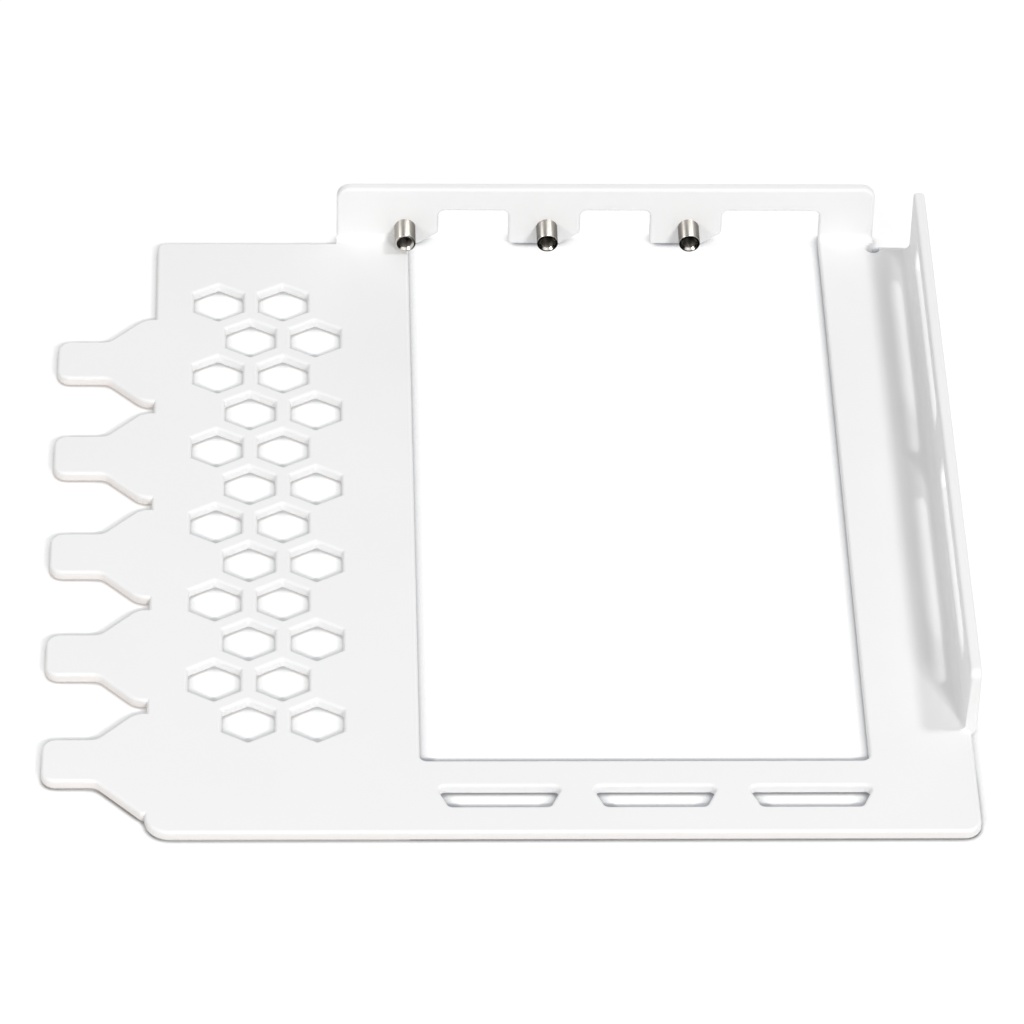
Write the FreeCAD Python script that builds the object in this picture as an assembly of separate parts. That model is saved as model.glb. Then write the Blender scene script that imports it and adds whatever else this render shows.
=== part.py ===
import FreeCAD, Part
import math
import os

# Vertical graphics-card mount: one folded steel bracket lying on its face, with
# three press-in threaded standoffs. Millimetres, +Z up, +Y towards the card flange,
# +X towards the case flange, origin under the middle of the overall box.

# Expansion slots of a case and of a card share one pitch
slot_pitch = 20.32

# Sheet and its folds
sheet = 1.6
bend_inside = 1.0
bend_outside = bend_inside + sheet

# Overall box of the folded bracket
overall_x = 122.9
overall_y = 123.6
case_flange_height = 11.8
card_flange_height = 10.55

# Five tongues that drop into the case's slot openings
tongue_count = 5
tongue_reach = 13.6
tongue_straight = 7.1
tongue_width = 8.0
tongue_base_width = 18.0
tongue_tip_radius = 1.9
tongue_neck_radius = 1.8
shoulder_straight = 1.575
shoulder_radius = 3.0
last_tongue_setback = 13.67
last_shoulder_extra = 1.1

# Plate edges and corners
far_corner_radius = 1.2
near_left_land = 0.27
near_right_radius = 2.2
right_strip_inset = 0.8
corner_setback = 1.95
relief_radius = 0.95
relief_slit = 0.5

# Hexagon vents between the tongues and the card window
vent_rows = 12
vents_per_row = 2
vent_flats = 7.0
vent_pitch = 9.1
vent_row_pitch = 7.86
first_vent_inset_x = 8.8
first_vent_setback = 14.4

# Card window and the three slots for the card's bracket tongues
window_past_post = 0.45
window_to_case_flange = 12.95
window_radius = 1.0
near_strip = 13.5
card_slot_depth = 3.8
card_slot_far_width = 16.5
card_slot_near_width = 13.2
card_slot_offset = 10.7
card_slot_radius = 0.8

# Card flange: upper rail with three hanging tabs
rail_overhang_left = 9.75
rail_overhang_right = 7.8
rail_corner_radius = 1.9
notch_top = 6.55
notch_radius = 1.0
tab_left = 5.5
tab_right = 4.8
tab_bottom = 0.55
tab_corner_radius = 0.6
tab_chamfer_x = 2.8
tab_chamfer_z = 1.95

# Case flange: two long screw slots
case_flange_end = 103.0
case_flange_near_radius = 1.2
screw_slot_length = 37.8
screw_slot_width = 4.4
screw_slot_height = 7.1
first_screw_slot_setback = 28.5
screw_slot_spacing = 46.6

# Standoffs, pressed into the three tabs
post_count = 3
middle_post_offset = 7.82
post_height = 3.65
post_length = 3.7
post_radius = 1.5
post_chamfer = 0.15
shank_radius = 1.3
bore_radius = 0.95
press_clearance = 0.0

# Positions that follow from the sizes above
tip_x = -overall_x / 2
plate_left = tip_x + tongue_reach
case_outer = overall_x / 2
case_inner = case_outer - sheet
case_bend = case_inner - bend_inside
plate_right = case_outer - right_strip_inset
card_back = overall_y / 2
card_front = card_back - sheet
card_bend = card_front - bend_inside
plate_near = -overall_y / 2
corner_far = card_front - corner_setback
case_flange_near = card_front - case_flange_end
first_post_x = middle_post_offset - slot_pitch * (post_count - 1) / 2
posts_x = [first_post_x + slot_pitch * i for i in range(post_count)]
window_left = first_post_x + window_past_post
window_right = case_inner - window_to_case_flange
window_near = plate_near + near_strip
rail_left = first_post_x - rail_overhang_left
rail_right = window_right + rail_overhang_right
fold_top = sheet + bend_inside
near_left_radius = last_tongue_setback - tongue_base_width / 2 - last_shoulder_extra - near_left_land


def on_plate(point):
    """Flat pattern u, v laid on the underside of the plate."""
    return FreeCAD.Vector(point.x, point.y, 0)


def on_card_flange(point):
    """Flat pattern u, v stood up on the front face of the card flange."""
    return FreeCAD.Vector(point.x, card_front, point.y)


def on_case_flange(point):
    """Flat pattern u, v stood up on the inner face of the case flange."""
    return FreeCAD.Vector(case_inner, point.x, point.y)


def rounded_face(corners, place):
    """Face with straight sides through (u, v, radius) corners, each corner rounded."""
    count = len(corners)
    turns = []
    for i in range(count):
        u, v, radius = corners[i]
        here = FreeCAD.Vector(u, v, 0)
        before = FreeCAD.Vector(corners[i - 1][0], corners[i - 1][1], 0)
        after = FreeCAD.Vector(corners[(i + 1) % count][0], corners[(i + 1) % count][1], 0)
        to_before = (before - here).normalize()
        to_after = (after - here).normalize()
        half_angle = to_before.getAngle(to_after) / 2
        reach = radius / math.tan(half_angle)
        inward = (to_before + to_after).normalize()
        middle = here + inward * (radius / math.sin(half_angle) - radius)
        turns.append((here + to_before * reach, middle, here + to_after * reach, radius))
    edges = []
    for i in range(count):
        start, middle, end, radius = turns[i]
        if radius > 0:
            edges.append(Part.Arc(place(start), place(middle), place(end)).toShape())
        edges.append(Part.makeLine(place(end), place(turns[(i + 1) % count][0])))
    return Part.Face(Part.Wire(edges))


def tongue_corners(middle_y, near_extra):
    """Corners of one tongue, walked from its near shoulder to its far shoulder."""
    half_base = tongue_base_width / 2
    half_neck = tongue_width / 2
    neck_x = tip_x + tongue_straight
    far_x = plate_left - shoulder_straight
    near_x = far_x + near_extra
    near_base = middle_y - half_base - near_extra
    far_base = middle_y + half_base
    return [
        (plate_left, near_base, 0),
        (near_x, near_base, shoulder_radius * (plate_left - near_x) / shoulder_straight),
        (neck_x, middle_y - half_neck, tongue_neck_radius),
        (tip_x, middle_y - half_neck, tongue_tip_radius),
        (tip_x, middle_y + half_neck, tongue_tip_radius),
        (neck_x, middle_y + half_neck, tongue_neck_radius),
        (far_x, far_base, shoulder_radius),
        (plate_left, far_base, 0),
    ]


def plate():
    """Flat part of the bracket, with its tongues and every hole in it."""
    corners = [(plate_left, plate_near, near_left_radius)]
    corners += [(plate_right, plate_near, near_right_radius)]
    corners += [(plate_right, case_flange_near, 0)]
    corners += [(case_bend, case_flange_near, 0)]
    corners += [(case_bend, corner_far, 0)]
    corners += [(rail_right, corner_far, 0)]
    corners += [(rail_right, card_bend, 0)]
    corners += [(window_right, card_bend, 0)]
    corners += [(window_right, window_near, window_radius)]
    corners += [(window_left, window_near, window_radius)]
    corners += [(window_left, card_bend, 0)]
    corners += [(plate_left, card_bend, far_corner_radius)]
    edge = []
    for i in range(tongue_count):
        middle_y = plate_near + last_tongue_setback + slot_pitch * i
        extra = last_shoulder_extra if i == 0 else 0
        edge += tongue_corners(middle_y, extra)
    corners += reversed(edge)
    solid = rounded_face(corners, on_plate).extrude(FreeCAD.Vector(0, 0, sheet))
    cutters = [relief_hole()] + vents() + card_slots()
    return solid.cut(Part.makeCompound(cutters))


def relief_hole():
    """Round relief where the card flange's fold ends by the far right corner."""
    foot = FreeCAD.Vector(rail_right, corner_far, 0)
    return Part.makeCylinder(relief_radius, sheet, foot)


def vents():
    """Rows of hexagon vents, every second row shifted by half a pitch."""
    across_corners = vent_flats / math.cos(math.radians(30))
    cutters = []
    for row in range(vent_rows):
        shift = vent_pitch / 2 * (row % 2)
        y = card_front - first_vent_setback - vent_row_pitch * row
        for i in range(vents_per_row):
            x = plate_left + first_vent_inset_x + vent_pitch * i + shift
            corners = []
            for k in range(6):
                angle = math.radians(30 + 60 * k)
                u = x + across_corners / 2 * math.cos(angle)
                v = y + across_corners / 2 * math.sin(angle)
                corners.append((u, v, 0))
            cutters.append(rounded_face(corners, on_plate).extrude(FreeCAD.Vector(0, 0, sheet)))
    return cutters


def card_slots():
    """Slots that narrow towards the near edge, one for each card bracket."""
    margin = (near_strip - card_slot_depth) / 2
    far = window_near - margin
    near = plate_near + margin
    cutters = []
    for x in posts_x:
        middle = x + card_slot_offset
        corners = [
            (middle - card_slot_near_width / 2, near, card_slot_radius),
            (middle + card_slot_near_width / 2, near, card_slot_radius),
            (middle + card_slot_far_width / 2, far, card_slot_radius),
            (middle - card_slot_far_width / 2, far, card_slot_radius),
        ]
        cutters.append(rounded_face(corners, on_plate).extrude(FreeCAD.Vector(0, 0, sheet)))
    return cutters


def fold(axis_point, axis, start, length):
    """Quarter-round bend from the plate up into a flange, along the given axis."""
    outer = Part.makeCylinder(bend_outside, length, axis_point, axis, 360)
    inner = Part.makeCylinder(bend_inside, length, axis_point, axis, 360)
    corner = Part.makeBox(start.x, start.y, start.z)
    corner.translate(axis_point - FreeCAD.Vector(0, 0, bend_outside))
    return outer.cut(inner).common(corner)


def card_folds():
    """Two stretches of fold that carry the card flange, left and right of the window."""
    folds = []
    for left, right in ((rail_left, window_left), (window_right, rail_right)):
        foot = FreeCAD.Vector(left, card_bend, fold_top)
        size = FreeCAD.Vector(right - left, bend_outside, bend_outside)
        folds.append(fold(foot, FreeCAD.Vector(1, 0, 0), size, right - left))
    return folds


def case_fold():
    """Fold of the case flange, along the whole of it."""
    length = corner_far - case_flange_near
    foot = FreeCAD.Vector(case_bend, case_flange_near, fold_top)
    size = FreeCAD.Vector(bend_outside, length, bend_outside)
    return fold(foot, FreeCAD.Vector(0, 1, 0), size, length)


def card_flange():
    """Upright rail with three hanging tabs, seen along Y."""
    corners = [
        (rail_left, fold_top, 0),
        (rail_left, card_flange_height, rail_corner_radius),
        (rail_right, card_flange_height, rail_corner_radius),
        (rail_right, fold_top, 0),
        (window_right, fold_top, 0),
        (window_right, notch_top, notch_radius),
    ]
    for x in reversed(posts_x):
        right = x + tab_right
        left = max(x - tab_left, window_left + relief_slit)
        corners += [
            (right, notch_top, notch_radius),
            (right, tab_bottom + tab_chamfer_z, tab_corner_radius),
            (right - tab_chamfer_x, tab_bottom, tab_corner_radius),
            (left, tab_bottom, 0 if left > x else tab_corner_radius),
            (left, fold_top if left > x else notch_top, 0 if left > x else notch_radius),
        ]
    return rounded_face(corners, on_card_flange).extrude(FreeCAD.Vector(0, sheet, 0))


def case_flange():
    """Upright flange with two long slots for the case's screws, seen along X."""
    corners = [
        (case_flange_near, fold_top, 0),
        (corner_far, fold_top, 0),
        (corner_far, case_flange_height, 0),
        (case_flange_near, case_flange_height, case_flange_near_radius),
    ]
    solid = rounded_face(corners, on_case_flange).extrude(FreeCAD.Vector(sheet, 0, 0))
    half_width = screw_slot_width / 2
    straight = screw_slot_length - screw_slot_width
    for i in range(2):
        middle_y = card_front - first_screw_slot_setback - screw_slot_spacing * i
        near = FreeCAD.Vector(case_inner, middle_y - straight / 2, screw_slot_height)
        slot = Part.makeBox(sheet, straight, screw_slot_width, near - FreeCAD.Vector(0, 0, half_width))
        for y in (middle_y - straight / 2, middle_y + straight / 2):
            end = FreeCAD.Vector(case_inner, y, screw_slot_height)
            slot = slot.fuse(Part.makeCylinder(half_width, sheet, end, FreeCAD.Vector(1, 0, 0)))
        solid = solid.cut(slot)
    return solid


def press_hole(x):
    """Hole through a tab for a standoff's shank, spot-faced where the fold starts."""
    foot = FreeCAD.Vector(x, card_front - bend_outside, post_height)
    along = FreeCAD.Vector(0, 1, 0)
    hole = Part.makeCylinder(shank_radius + press_clearance, sheet + bend_outside, foot, along)
    return hole.fuse(Part.makeCylinder(post_radius + press_clearance, bend_outside, foot, along))


def bracket():
    """The whole folded sheet as one solid."""
    solid = plate()
    for piece in card_folds() + [case_fold(), card_flange(), case_flange()]:
        solid = solid.fuse(piece)
    for x in posts_x:
        solid = solid.cut(press_hole(x))
    return solid.removeSplitter()


def standoff(x):
    """Round threaded standoff: barrel in front of the tab, shank flush with its back."""
    away = FreeCAD.Vector(0, -1, 0)
    shoulder = FreeCAD.Vector(x, card_front, post_height)
    back = FreeCAD.Vector(x, card_back, post_height)
    barrel = Part.makeCylinder(post_radius, post_length - post_chamfer, shoulder, away)
    tip = Part.makeCone(
        post_radius,
        post_radius - post_chamfer,
        post_chamfer,
        FreeCAD.Vector(x, card_front - post_length + post_chamfer, post_height),
        away,
    )
    shank = Part.makeCylinder(shank_radius, sheet, back, away)
    bore = Part.makeCylinder(bore_radius, sheet + post_length, back, away)
    return barrel.fuse(tip).fuse(shank).cut(bore).removeSplitter()


os.makedirs("parts", exist_ok=True)
bracket().exportStep("parts/bracket.step")
for name, x in zip(("standoff_left", "standoff_middle", "standoff_right"), posts_x):
    standoff(x).exportStep("parts/" + name + ".step")
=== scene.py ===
import math

import bmesh
import bpy
from mathutils import Matrix, Vector


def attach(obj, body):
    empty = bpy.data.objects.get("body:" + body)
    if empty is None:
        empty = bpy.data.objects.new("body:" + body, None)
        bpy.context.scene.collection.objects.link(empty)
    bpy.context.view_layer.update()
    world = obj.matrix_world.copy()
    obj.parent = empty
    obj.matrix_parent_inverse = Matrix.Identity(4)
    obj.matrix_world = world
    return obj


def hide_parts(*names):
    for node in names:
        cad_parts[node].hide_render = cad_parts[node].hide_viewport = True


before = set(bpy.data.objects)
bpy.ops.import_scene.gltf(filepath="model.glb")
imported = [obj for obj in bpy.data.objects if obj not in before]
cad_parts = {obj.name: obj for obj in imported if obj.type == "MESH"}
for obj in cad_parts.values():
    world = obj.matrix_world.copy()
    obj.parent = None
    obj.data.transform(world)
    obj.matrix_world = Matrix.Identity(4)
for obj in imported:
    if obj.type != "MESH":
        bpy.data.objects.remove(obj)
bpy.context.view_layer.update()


# Folded bracket: one 1.6 mm steel sheet, laser cut with its tongues, vents, card window
# and slots, folded up along two sides, then powder coated white all over. The coat draws
# back from every cut edge and leaves it rounded.
mm = 0.001
coat_round = 0.45 * mm
narrow_wall = 0.95 * mm
cut_edge = math.radians(40)
post_xs = (-12.5 * mm, 7.82 * mm, 28.14 * mm)
post_z = 3.65 * mm
press_seat = 1.7 * mm
seat_front = 57.0 * mm
# Spots at the ends of the folds, where cut edges crowd together: x, y, z and reach in mm
tight_corners = (
    (59.9, -42.8, 1.1, 2.0),
    (55.75, 58.2, 0.8, 0.9),
    (54.5, 59.5, 1.0, 1.1),
    (-22.25, 59.7, 1.0, 1.2),
    (-12.0, 61.0, 2.5, 1.0),
)


def deselect_all():
    """Nothing selected, so that the next operator acts on one new piece only."""
    if bpy.context.mode != "OBJECT":
        bpy.ops.object.mode_set(mode="OBJECT")
    bpy.ops.object.select_all(action="DESELECT")


def beside_post(point):
    """True for a point on the rim of a hole that a standoff is pressed into."""
    if point.y < seat_front:
        return False
    return any(math.hypot(point.x - x, point.z - post_z) < press_seat for x in post_xs)


def in_tight_corner(point):
    """True for a point that lies within reach of one of the tight corners."""
    return any((point - Vector(spot[:3]) * mm).length < spot[3] * mm for spot in tight_corners)


deselect_all()
bracket = bpy.data.objects.new("folded_bracket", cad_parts["bracket"].data.copy())
bpy.context.scene.collection.objects.link(bracket)
bracket.select_set(True)
bpy.context.view_layer.objects.active = bracket
bpy.ops.object.mode_set(mode="EDIT")
bpy.ops.mesh.select_mode(type="EDGE")
bpy.ops.mesh.select_all(action="SELECT")
bpy.ops.mesh.remove_doubles(threshold=0.002 * mm)
bpy.ops.mesh.customdata_custom_splitnormals_clear()
bpy.ops.mesh.dissolve_limited(angle_limit=math.radians(0.5))
bpy.ops.mesh.select_all(action="DESELECT")
bpy.ops.mesh.edges_select_sharp(sharpness=cut_edge)
shape = bmesh.from_edit_mesh(bracket.data)
for edge in shape.edges:
    middle = (edge.verts[0].co + edge.verts[1].co) / 2
    slim = any(face.calc_area() < narrow_wall * edge.calc_length() for face in edge.link_faces)
    if edge.select and (slim or beside_post(middle) or in_tight_corner(middle)):
        edge.select_set(False)
shape.select_flush_mode()
bmesh.update_edit_mesh(bracket.data)
bpy.ops.mesh.bevel(offset=coat_round, segments=4, clamp_overlap=False, loop_slide=False)
bpy.ops.mesh.select_all(action="DESELECT")
bpy.ops.mesh.edges_select_sharp(sharpness=cut_edge)
bpy.ops.mesh.mark_sharp()
bpy.ops.object.mode_set(mode="OBJECT")
bpy.ops.object.shade_smooth()
flat_faces = bracket.modifiers.new("flat_faces", "WEIGHTED_NORMAL")
flat_faces.weight = 100
flat_faces.keep_sharp = True
bpy.ops.object.modifier_apply(modifier=flat_faces.name)


def linear(code):
    """sRGB hex colour as linear red, green, blue and alpha."""
    parts = [int(code[i:i + 2], 16) / 255 for i in (0, 2, 4)]
    return [p / 12.92 if p <= 0.04045 else ((p + 0.055) / 1.055) ** 2.4 for p in parts] + [1.0]


def add_node(material, kind, links, **settings):
    """Adds a node; links maps its inputs to values or to other nodes' outputs."""
    tree = material.node_tree
    node = tree.nodes.new(kind)
    for name, value in settings.items():
        setattr(node, name, value)
    for name, value in links.items():
        if isinstance(value, bpy.types.NodeSocket):
            tree.links.new(value, node.inputs[name])
        else:
            node.inputs[name].default_value = value
    return node


def new_material(name):
    """An empty node material."""
    material = bpy.data.materials.new(name)
    material.use_nodes = True
    material.node_tree.nodes.clear()
    return material


# White polyester powder coat, sprayed dry and baked until it flows: a soft satin white
# with a faint orange peel about 0.9 mm across, a fine grain, and a tone that drifts a
# little with the film's thickness. The grain is drawn coarse enough to show.
coat = new_material("white_powder_coat")
place = add_node(coat, "ShaderNodeTexCoord", {}).outputs["Object"]
film = add_node(coat, "ShaderNodeTexNoise", {"Vector": place, "Scale": 1 / (22 * mm), "Detail": 2.0})
tone = add_node(coat, "ShaderNodeMix", {
    "Factor": film.outputs["Fac"],
    "A": linear("EFEFEF"),
    "B": linear("F3F3F3"),
}, data_type="RGBA")
peel = add_node(coat, "ShaderNodeTexNoise", {"Vector": place, "Scale": 1 / (0.9 * mm), "Detail": 1.0})
grain = add_node(coat, "ShaderNodeTexNoise", {"Vector": place, "Scale": 1 / (0.25 * mm), "Detail": 2.0})
satin = add_node(coat, "ShaderNodeMapRange", {"Value": grain.outputs["Fac"], "To Min": 0.48, "To Max": 0.6})
waves = add_node(coat, "ShaderNodeBump", {
    "Height": peel.outputs["Fac"],
    "Strength": 0.08,
    "Distance": 0.05 * mm,
})
surface = add_node(coat, "ShaderNodeBump", {
    "Height": grain.outputs["Fac"],
    "Strength": 0.05,
    "Distance": 0.02 * mm,
    "Normal": waves.outputs["Normal"],
})
paint = add_node(coat, "ShaderNodeBsdfPrincipled", {
    "Base Color": tone.outputs[2],
    "Roughness": satin.outputs["Result"],
    "Normal": surface.outputs["Normal"],
    "Specular IOR Level": 0.13,
})
add_node(coat, "ShaderNodeOutputMaterial", {"Surface": paint.outputs["BSDF"]})
bracket.data.materials.clear()
bracket.data.materials.append(coat)
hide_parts("bracket")
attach(bracket, "root")


# Press-in standoffs: three turned steel barrels, nickel plated, each pressed through a
# hole in the card flange until its shoulder meets the tab, with a threaded bore for the
# screw of a card's bracket.
barrel_radius = 1.5 * mm
barrel_front = 56.5 * mm
shoulder = 60.2 * mm
shank_radius = 1.3 * mm
shank_back = 61.8 * mm
bore_radius = 0.95 * mm
thread_depth = 0.13 * mm
thread_step = 0.2 * mm
rim_round = 0.14 * mm
mouth_flare = 0.28 * mm
ring_step = 0.15 * mm
touching = 0.01 * mm


def select_facing(piece, direction, y):
    """Selects only the faces that look along direction and lie at that y."""
    bpy.ops.mesh.select_mode(type="FACE")
    bpy.ops.mesh.select_all(action="DESELECT")
    mesh = bmesh.from_edit_mesh(piece.data)
    for face in mesh.faces:
        level = abs(face.calc_center_median().y - y) < touching
        face.select_set(level and face.normal.dot(direction) > 0.99)
    bmesh.update_edit_mesh(piece.data)


to_front = Vector((0, -1, 0))
to_back = Vector((0, 1, 0))
deselect_all()
bpy.ops.mesh.primitive_cylinder_add(
    vertices=56,
    radius=barrel_radius,
    depth=shoulder - barrel_front,
    location=(post_xs[0], (shoulder + barrel_front) / 2, post_z),
    rotation=(math.pi / 2, 0, 0),
)
post = bpy.context.active_object
post.name = "standoff_barrel_left"
bpy.ops.object.transform_apply()
bpy.ops.object.mode_set(mode="EDIT")
select_facing(post, to_back, shoulder)
bpy.ops.mesh.inset(thickness=barrel_radius - shank_radius)
bpy.ops.mesh.extrude_region_move(TRANSFORM_OT_translate={"value": (0, shank_back - shoulder, 0)})
bpy.ops.mesh.inset(thickness=shank_radius - bore_radius)
bpy.ops.mesh.delete(type="FACE")
select_facing(post, to_front, barrel_front)
bpy.ops.mesh.inset(thickness=rim_round, depth=0)
bpy.ops.mesh.inset(thickness=barrel_radius - rim_round - bore_radius - mouth_flare)
bpy.ops.mesh.inset(thickness=mouth_flare, depth=-mouth_flare)
turns = int((shank_back - barrel_front - mouth_flare) / thread_step / 2) - 1
wide = (bore_radius + thread_depth) / bore_radius
for turn in range(turns):
    bpy.ops.mesh.extrude_region_move(TRANSFORM_OT_translate={"value": (0, thread_step, 0)})
    bpy.ops.transform.resize(value=(wide, 1, wide))
    bpy.ops.mesh.extrude_region_move(TRANSFORM_OT_translate={"value": (0, thread_step, 0)})
    bpy.ops.transform.resize(value=(1 / wide, 1, 1 / wide))
bpy.ops.mesh.delete(type="FACE")
bpy.ops.mesh.select_mode(type="EDGE")
bpy.ops.mesh.select_non_manifold()
bpy.ops.mesh.bridge_edge_loops()
bpy.ops.mesh.select_all(action="DESELECT")
shape = bmesh.from_edit_mesh(post.data)
for edge in shape.edges:
    ends = [math.hypot(v.co.x - post_xs[0], v.co.z - post_z) for v in edge.verts]
    rim = all(abs(v.co.y - barrel_front) < touching for v in edge.verts)
    edge.select_set(rim and min(ends) > barrel_radius - touching)
bmesh.update_edit_mesh(post.data)
bpy.ops.mesh.bevel(offset=rim_round * 0.9, segments=2)
bpy.ops.object.mode_set(mode="OBJECT")
bpy.ops.object.shade_smooth_by_angle(angle=math.radians(32))


# Nickel plate over turned steel: a bright warm-grey metal, with a black edge tint that paints
# shade along its outline. Fine lathe rings, 0.15 mm apart, run round the barrel and stretch its
# reflections along it; the faced front end is smoother, and the thread in the bore is dull and coloured
# darker.
def turned_nickel(name, dark, light, roughness, stretch):
    """Nickel between two tones; stretch draws reflections out along the barrel."""
    nickel = new_material(name)
    place = add_node(nickel, "ShaderNodeTexCoord", {}).outputs["Object"]
    rings = add_node(nickel, "ShaderNodeTexWave", {
        "Vector": place,
        "Scale": 2 * math.pi / 20 / ring_step,
        "Distortion": 1.5,
        "Detail": 2.0,
    }, bands_direction="Y")
    wear = add_node(nickel, "ShaderNodeTexNoise", {"Vector": place, "Scale": 1 / (0.5 * mm), "Detail": 3.0})
    gloss = add_node(nickel, "ShaderNodeMapRange", {
        "Value": wear.outputs["Fac"],
        "To Min": roughness,
        "To Max": roughness + 0.06,
    })
    tint = add_node(nickel, "ShaderNodeMix", {
        "Factor": wear.outputs["Fac"],
        "A": linear(dark),
        "B": linear(light),
    }, data_type="RGBA")
    lathe = add_node(nickel, "ShaderNodeBump", {
        "Height": rings.outputs["Fac"],
        "Strength": 0.12,
        "Distance": 0.01 * mm,
    })
    round_axis = add_node(nickel, "ShaderNodeTangent", {}, direction_type="RADIAL", axis="Y")
    metal = add_node(nickel, "ShaderNodeBsdfPrincipled", {
        "Base Color": tint.outputs[2],
        "Metallic": 1.0,
        # Painted shade: a black edge tint darkens the metal along its outline.
        "Specular Tint": linear("000000"),
        "Anisotropic": stretch,
        "Anisotropic Rotation": 0.25,
        "Tangent": round_axis.outputs["Tangent"],
        "Roughness": gloss.outputs["Result"],
        "Normal": lathe.outputs["Normal"],
    })
    add_node(nickel, "ShaderNodeOutputMaterial", {"Surface": metal.outputs["BSDF"]})
    return nickel


post.data.materials.append(turned_nickel("nickel_plate", "B8B4AD", "C4C0BA", 0.43, 0.95))
post.data.materials.append(turned_nickel("nickel_faced_end", "C4C0BA", "D0CCC6", 0.16, 0.0))
post.data.materials.append(turned_nickel("nickel_cut_thread", "6E6A65", "7E7A75", 0.36, 0.0))
for face in post.data.polygons:
    off_axis = math.hypot(face.center.x - post_xs[0], face.center.z - post_z)
    inward = face.center.y - barrel_front
    if inward > mouth_flare and off_axis < bore_radius + thread_depth:
        face.material_index = 2
    elif inward < mouth_flare and off_axis < barrel_radius - 2 * touching:
        face.material_index = 1

posts = [post]
for name, x in zip(("standoff_barrel_middle", "standoff_barrel_right"), post_xs[1:]):
    twin = bpy.data.objects.new(name, post.data.copy())
    twin.data.transform(Matrix.Translation((x - post_xs[0], 0, 0)))
    bpy.context.scene.collection.objects.link(twin)
    posts.append(twin)
for piece, node_name in zip(posts, ("standoff_left", "standoff_middle", "standoff_right")):
    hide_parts(node_name)
    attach(piece, "root")


# Table and backdrop: a plain table that runs out of sight, laid with matt white paper, whose
# light thrown back is painted neutral under the plate and warm beyond it. The bracket lies loose on it.
table_drop = 0.02 * mm
plate_left = -47.9 * mm
plate_near = -61.9 * mm
window_side = -13.5 * mm
window_near = -47.5 * mm
slots_far = -52 * mm
painted_shade_narrow = 0.55 * mm
painted_shade_wide = 0.95 * mm
painted_warm_reach = 3.0 * mm
painted_lee_reach = 2.25 * mm
deselect_all()
bpy.ops.mesh.primitive_plane_add(size=3.0, location=(0, 0, -table_drop))
table = bpy.context.active_object
table.name = "white_table"


def seen_or_mirrored(owner):
    """1 where the eye, metal or glass looks at the surface, 0 where it only throws light."""
    path = add_node(owner, "ShaderNodeLightPath", {})
    metal_or_glass = add_node(owner, "ShaderNodeMath", {
        0: path.outputs["Is Glossy Ray"],
        1: path.outputs["Is Transmission Ray"],
    }, operation="MAXIMUM")
    seen = add_node(owner, "ShaderNodeMath", {
        0: path.outputs["Is Camera Ray"],
        1: metal_or_glass.outputs[0],
    }, operation="MAXIMUM")
    return seen.outputs[0]


# Matt white paper: bright white to the eye, with a thin line of painted shade where the
# bracket's foot meets it, darkest at the near side, and a grey strip of painted shade behind
# each near edge. It throws a faint painted warm tint back onto the outer walls.
paper = new_material("matt_white_paper")
spot = add_node(paper, "ShaderNodeTexCoord", {})
along = add_node(paper, "ShaderNodeSeparateXYZ", {"Vector": spot.outputs["Object"]})
right_of_edge = add_node(paper, "ShaderNodeMath", {
    0: along.outputs["X"],
    1: plate_left,
}, operation="GREATER_THAN")
behind_edge = add_node(paper, "ShaderNodeMath", {
    0: along.outputs["Y"],
    1: plate_near,
}, operation="GREATER_THAN")
under_plate = add_node(paper, "ShaderNodeMath", {
    0: right_of_edge.outputs[0],
    1: behind_edge.outputs[0],
}, operation="MULTIPLY")
# Painted warm bounce: the paper throws back a warmer colour where it is closed in near the bracket, and a
# neutral one under the plate.
near_edge = add_node(paper, "ShaderNodeAmbientOcclusion", {"Distance": painted_warm_reach}, samples=6)
painted_warm_bounce = add_node(paper, "ShaderNodeMix", {
    "Factor": near_edge.outputs["AO"],
    "A": linear("F0CDB2"),
    "B": linear("DBD8D5"),
}, data_type="RGBA")
painted_bounce_colour = add_node(paper, "ShaderNodeMix", {
    "Factor": under_plate.outputs[0],
    "A": painted_warm_bounce.outputs[2],
    "B": linear("E8E8E8"),
}, data_type="RGBA")
matt = add_node(paper, "ShaderNodeBsdfDiffuse", {"Color": painted_bounce_colour.outputs[2]})
# Painted contact shade: a thin dark line drawn on the paper round the bracket's foot, from how closed-in
# each spot is, wider and darker towards the near side.
nearness = add_node(paper, "ShaderNodeMapRange", {
    "Value": along.outputs["Y"],
    "From Min": window_near,
    "From Max": slots_far,
})
painted_shade_reach = add_node(paper, "ShaderNodeMapRange", {
    "Value": nearness.outputs["Result"],
    "To Min": painted_shade_narrow,
    "To Max": painted_shade_wide,
})
foot_occlusion = add_node(paper, "ShaderNodeAmbientOcclusion", {"Distance": painted_shade_reach.outputs["Result"]}, samples=6)
clear_of_foot_shade = add_node(paper, "ShaderNodeMapRange", {
    "Value": foot_occlusion.outputs["AO"],
    "From Min": 0.48,
    "From Max": 0.78,
})
painted_foot_shade_colour = add_node(paper, "ShaderNodeMix", {
    "Factor": nearness.outputs["Result"],
    "A": linear("B8B0AA"),
    "B": linear("2C1E18"),
}, data_type="RGBA")
with_painted_foot_shade = add_node(paper, "ShaderNodeMix", {
    "Factor": clear_of_foot_shade.outputs["Result"],
    "A": painted_foot_shade_colour.outputs[2],
    "B": linear("FFFFFF"),
}, data_type="RGBA")
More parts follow.
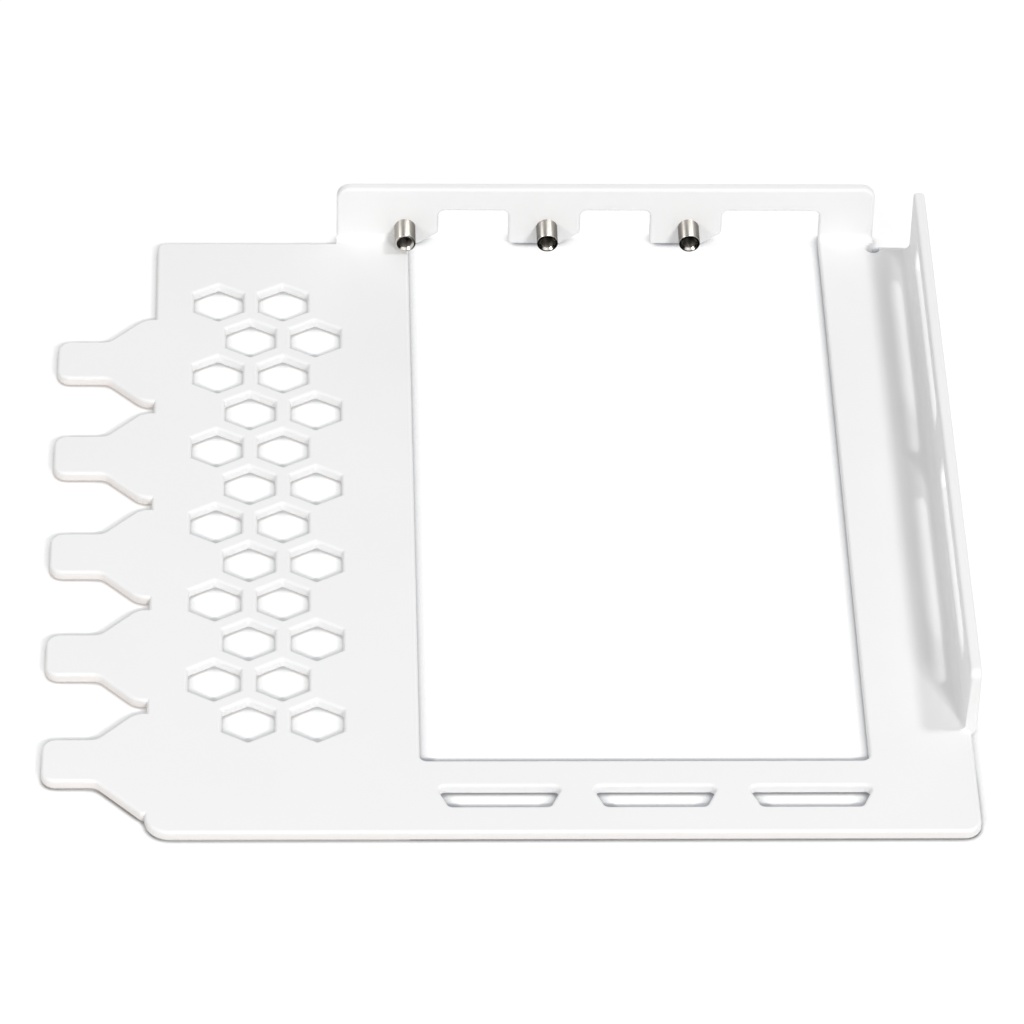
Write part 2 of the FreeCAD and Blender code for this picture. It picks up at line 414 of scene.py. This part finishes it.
# Painted shade: a grey strip drawn on the paper behind each near edge, from how closed-in each spot is
# towards the low front, darker beside the card window.
open_sides = []
for aside in (-0.64, 0.64):
    low_front = add_node(paper, "ShaderNodeCombineXYZ", {"X": aside, "Y": -0.77})
    lee = add_node(paper, "ShaderNodeAmbientOcclusion", {
        "Distance": painted_lee_reach,
        "Normal": low_front.outputs["Vector"],
    }, samples=8)
    open_sides.append(lee.outputs["AO"])
most_open = add_node(paper, "ShaderNodeMath", {0: open_sides[0], 1: open_sides[1]}, operation="MAXIMUM")
clear_of_painted_lee = add_node(paper, "ShaderNodeMapRange", {
    "Value": most_open.outputs[0],
    "From Min": 0.87,
    "From Max": 0.95,
})
by_window = add_node(paper, "ShaderNodeMath", {
    0: along.outputs["X"],
    1: window_side,
}, operation="GREATER_THAN")
painted_lee_shade_colour = add_node(paper, "ShaderNodeMix", {
    "Factor": by_window.outputs[0],
    "A": linear("B0B2B4"),
    "B": linear("70747E"),
}, data_type="RGBA")
with_painted_shades = add_node(paper, "ShaderNodeMix", {
    "Factor": clear_of_painted_lee.outputs["Result"],
    "A": painted_lee_shade_colour.outputs[2],
    "B": with_painted_foot_shade.outputs[2],
}, data_type="RGBA")
glow = add_node(paper, "ShaderNodeEmission", {"Color": with_painted_shades.outputs[2], "Strength": 0.86})
lamp_shadow = add_node(paper, "ShaderNodeBsdfDiffuse", {"Color": linear("7C7C7C")})
bright = add_node(paper, "ShaderNodeAddShader", {
    0: lamp_shadow.outputs["BSDF"],
    1: glow.outputs["Emission"],
})
sheet = add_node(paper, "ShaderNodeMixShader", {
    0: seen_or_mirrored(paper),
    1: matt.outputs["BSDF"],
    2: bright.outputs["Shader"],
})
add_node(paper, "ShaderNodeOutputMaterial", {"Surface": sheet.outputs["Shader"]})
table.data.materials.append(paper)


# Studio cards, kept out of the camera's sight and seen only in reflections: dull black card
# below, beside and above the standoffs, which paint dark edges and a dark line into their
# reflections, and two glowing white ones higher up, which paint bright streaks into them.
black = new_material("black_card")
dull = add_node(black, "ShaderNodeBsdfDiffuse", {"Color": linear("0C0C0C")})
add_node(black, "ShaderNodeOutputMaterial", {"Surface": dull.outputs["BSDF"]})
white = new_material("glowing_white_card")
card_glow = add_node(white, "ShaderNodeEmission", {"Color": linear("FFFFFF"), "Strength": 5.0})
add_node(white, "ShaderNodeOutputMaterial", {"Surface": card_glow.outputs["Emission"]})


def studio_card(name, place, width, length, lean, material):
    """Card laid along Y at a place and leaned over about Y, in metres and degrees."""
    deselect_all()
    bpy.ops.mesh.primitive_plane_add(size=1.0, location=place, rotation=(0, math.radians(lean), 0))
    card = bpy.context.active_object
    card.name = name
    card.scale = (width, length, 1)
    bpy.ops.object.transform_apply()
    card.data.materials.append(material)
    # Seen only in reflections: the card paints a dark or bright reflection into the metal.
    card.visible_camera = False
    card.visible_diffuse = False
    card.visible_shadow = False


# Painted dark reflections for the standoffs; these black cards show nowhere else.
studio_card("black_card_below", (17.5 * mm, 36 * mm, -0.01 * mm), 58 * mm, 42 * mm, 0, black)
for x in post_xs:
    studio_card("black_card_beside", (x + 8.5 * mm, 46.5 * mm, 4.2 * mm), 8.4 * mm, 23 * mm, 90, black)
studio_card("black_card_above", (-0.35, 0.2, 1.0), 0.3, 1.6, 0, black)
# Painted bright streaks: two glowing cards that only the metal's reflections see.
studio_card("white_card_right", (0.2, 0.2, 1.0), 0.3, 1.6, 0, white)
studio_card("white_card_left", (-1.1, 0.2, 0.93), 0.5, 1.6, 0, white)


# Light: an even white room, a soft box up on the right, a wider one in front and to the
# right, a weak one near on the left and a low one behind. They leave no glints of their
# own: the metal mirrors the room and the cards.
room = bpy.data.worlds.new("white_room")
room.use_nodes = True
room.node_tree.nodes.clear()
ambient = add_node(room, "ShaderNodeBackground", {"Color": linear("FFFFFF"), "Strength": 0.4})
backdrop = add_node(room, "ShaderNodeBackground", {"Color": linear("FFFFFF"), "Strength": 1.0})
both = add_node(room, "ShaderNodeMixShader", {
    0: seen_or_mirrored(room),
    1: ambient.outputs["Background"],
    2: backdrop.outputs["Background"],
})
add_node(room, "ShaderNodeOutputWorld", {"Surface": both.outputs["Shader"]})
bpy.context.scene.world = room


def soft_box(name, turn, rise, size, watts, away=2.0):
    """Square lamp aimed at the bracket; turn from +X towards +Y and rise, in degrees."""
    lamp = bpy.data.lights.new(name, "AREA")
    lamp.size = size
    lamp.energy = watts
    lamp.specular_factor = 0
    holder = bpy.data.objects.new(name, lamp)
    bpy.context.scene.collection.objects.link(holder)
    across = math.cos(math.radians(rise))
    towards = Vector((
        across * math.cos(math.radians(turn)),
        across * math.sin(math.radians(turn)),
        math.sin(math.radians(rise)),
    ))
    holder.location = towards * away
    holder.rotation_euler = towards.to_track_quat("Z", "Y").to_euler()
    holder.visible_camera = False


soft_box("right_soft_box", 0, 58.4, 0.23, 9.6)
soft_box("side_soft_box", -68, 34, 0.36, 16.5)
soft_box("left_soft_box", -140, 35, 0.25, 2.3, away=1.0)
soft_box("back_soft_box", 95, 6, 0.8, 7.0)


# Camera: a long lens looking down on the bracket from its near side, a little turned and
# rolled. Angles are in radians, and the focal length is in the photograph's pixels.
photo_width = 1024
focal_length = 6385.29
sensor_width = 36
rise = 0.72017
turn = 0.04729
roll = -0.03093
distance = 872.02 * mm
aim = Vector((1.330, 1.265, 1.150)) * mm
level_right = Vector((math.cos(turn), -math.sin(turn), 0))
back = Vector((-math.sin(turn) * math.cos(rise), -math.cos(turn) * math.cos(rise), math.sin(rise)))
level_up = back.cross(level_right)
right = level_right * math.cos(roll) - level_up * math.sin(roll)
up = back.cross(right)
lens = bpy.data.cameras.new("product_camera")
lens.sensor_width = sensor_width
lens.lens = sensor_width * focal_length / photo_width
lens.clip_start = 0.05
lens.clip_end = 20
camera = bpy.data.objects.new("product_camera", lens)
facing = Matrix((right, up, back)).transposed().to_4x4()
camera.matrix_world = Matrix.Translation(aim + back * distance) @ facing
bpy.context.scene.collection.objects.link(camera)
bpy.context.scene.camera = camera
bpy.context.scene.view_settings.view_transform = "Standard"
